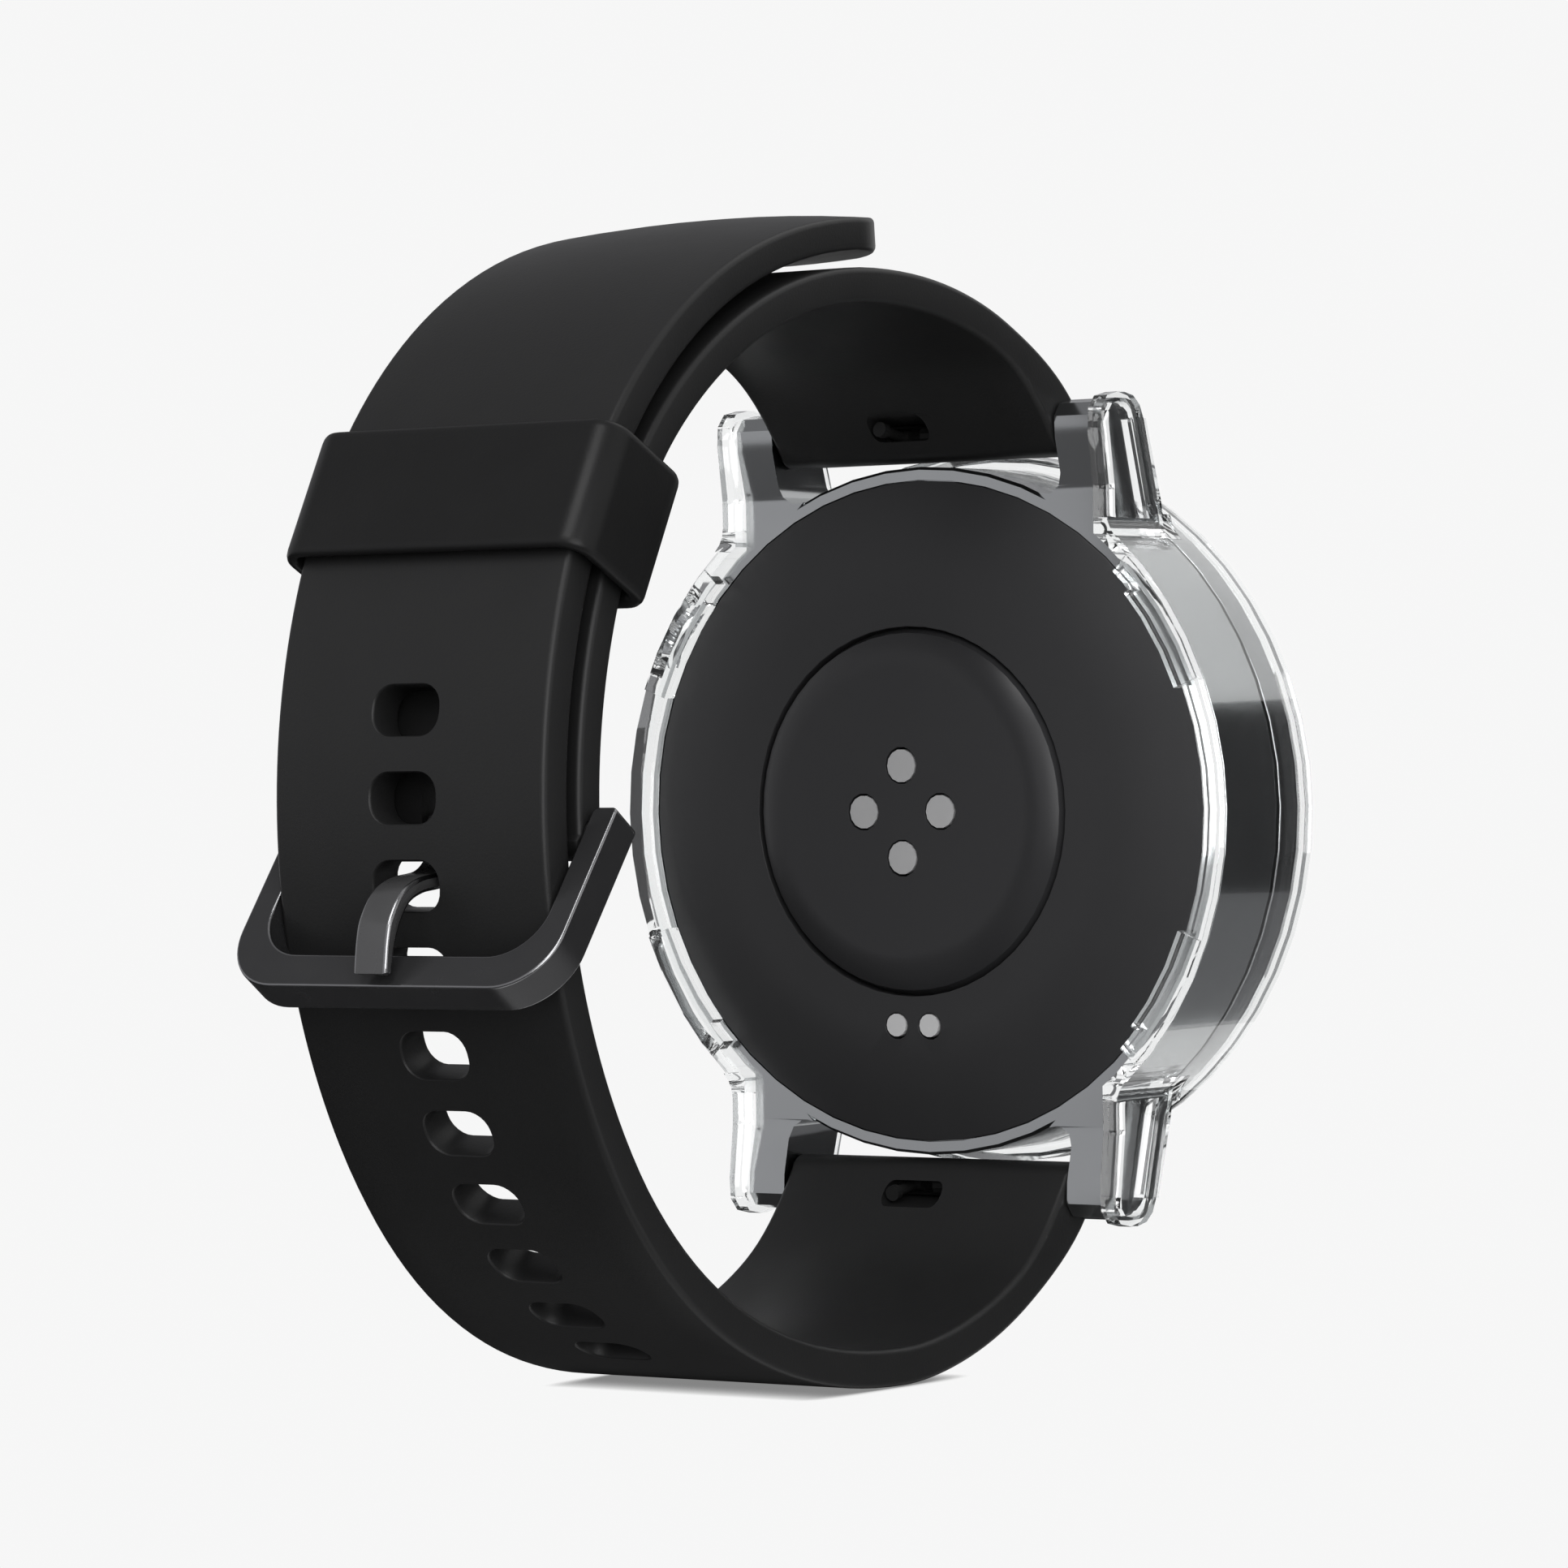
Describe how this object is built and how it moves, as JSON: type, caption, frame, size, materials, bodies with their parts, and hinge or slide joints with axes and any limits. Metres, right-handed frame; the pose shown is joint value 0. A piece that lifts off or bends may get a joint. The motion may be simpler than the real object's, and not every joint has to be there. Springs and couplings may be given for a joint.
{
  "type": "smartwatch bumper case",
  "caption": "Clear clip-over bumper case with lug frames and button windows, on a round smartwatch with a closed rubber strap and pin buckle.",
  "frame": {"origin": "centre of the sensor dome's flat face, on the watch's axis, where the watch touches the wrist", "axes": "+Y out of the watch's back towards the wrist, +Z towards twelve o'clock, +X towards three o'clock, where the crown is"},
  "size_m": [0.0468, 0.0678, 0.0727],
  "materials": {
    "clear_case": "clear polycarbonate",
    "housing_metal": "satin grey",
    "bezel_metal": "dark satin",
    "seal_rubber": "matt",
    "display_glass": "polished",
    "display_black": "satin",
    "inner_plastic": "matt",
    "cell_foil": "foil wrap",
    "motor_steel": "satin",
    "board_green": "solder mask",
    "cover_black": "satin",
    "dome_black": "polished",
    "window_grey": "polished",
    "contact_metal": "satin",
    "pin_steel": "satin",
    "strap_rubber": "matt",
    "keeper_rubber": "satin",
    "buckle_metal": "satin dark"
  },
  "bodies": {
    "watch": {"watch_housing": "housing_metal", "front_bezel": "bezel_metal", "front_seal": "seal_rubber", "display_glass": "display_glass", "display_panel": "display_black", "inner_carrier": "inner_plastic", "battery": "cell_foil", "haptic_motor": "motor_steel", "main_board": "board_green", "sensor_board": "board_green", "back_cover": "cover_black", "sensor_dome": "dome_black", "sensor_window_top": "window_grey", "sensor_window_right": "window_grey", "sensor_window_bottom": "window_grey", "sensor_window_left": "window_grey", "charging_contact_left": "contact_metal", "charging_contact_right": "contact_metal", "spring_bar_top": "pin_steel", "spring_bar_bottom": "pin_steel", "strap_buckle_half": "strap_rubber", "strap_hole_half": "strap_rubber", "buckle_pin": "buckle_metal"},
    "bumper": {"bumper_case": "clear_case"},
    "crown_shaft": {"crown_stem": "pin_steel", "crown_retainer": "pin_steel"},
    "crown": {"crown_wheel": "housing_metal", "crown_cap": "bezel_metal"},
    "button": {"side_button": "housing_metal", "button_retainer": "pin_steel"},
    "release_top": {"release_pin_top": "pin_steel"},
    "release_bottom": {"release_pin_bottom": "pin_steel"},
    "keeper": {"strap_keeper": "keeper_rubber"},
    "buckle": {"buckle_frame": "buckle_metal"},
    "tongue": {"buckle_tongue": "buckle_metal"}
  },
  "joints": [
    {"name": "bumper_release", "type": "slide", "parent": "watch", "child": "bumper", "axis": [0, -1, 0], "range_m": [0, 0.016], "deforming": ["bumper_case"]},
    {"name": "crown_press", "type": "slide", "parent": "watch", "child": "crown_shaft", "axis": [-0.866, 0, -0.5], "range_m": [0, 0.0005], "stiffness_N_per_m": 600, "springref_m": -0.0004},
    {"name": "crown_turn", "type": "hinge", "parent": "crown_shaft", "child": "crown", "pos_m": [0.0207, -0.00594, 0.01195], "axis": [0.866, 0, 0.5], "continuous": true},
    {"name": "button_press", "type": "slide", "parent": "watch", "child": "button", "axis": [-0.866, 0, 0.5], "range_m": [0, 0.0004], "stiffness_N_per_m": 600, "springref_m": -0.0004},
    {"name": "release_top_pull", "type": "slide", "parent": "watch", "child": "release_top", "axis": [-1, 0, 0], "range_m": [0, 0.0014], "stiffness_N_per_m": 200, "springref_m": -0.001},
    {"name": "release_bottom_pull", "type": "slide", "parent": "watch", "child": "release_bottom", "axis": [-1, 0, 0], "range_m": [0, 0.0014], "stiffness_N_per_m": 200, "springref_m": -0.001},
    {"name": "keeper_slide", "type": "hinge", "parent": "watch", "child": "keeper", "pos_m": [0, 0.01096, 0.00085], "axis": [1, 0, 0], "range_deg": [-11, 2.5]},
    {"name": "buckle_turn", "type": "hinge", "parent": "watch", "child": "buckle", "pos_m": [0, 0.04644, -0.00039], "axis": [1, 0, 0], "range_deg": [-2, 2]},
    {"name": "tongue_turn", "type": "hinge", "parent": "buckle", "child": "tongue", "pos_m": [0, 0.04644, -0.00039], "axis": [1, 0, 0], "range_deg": [0, 3]}
  ]
}
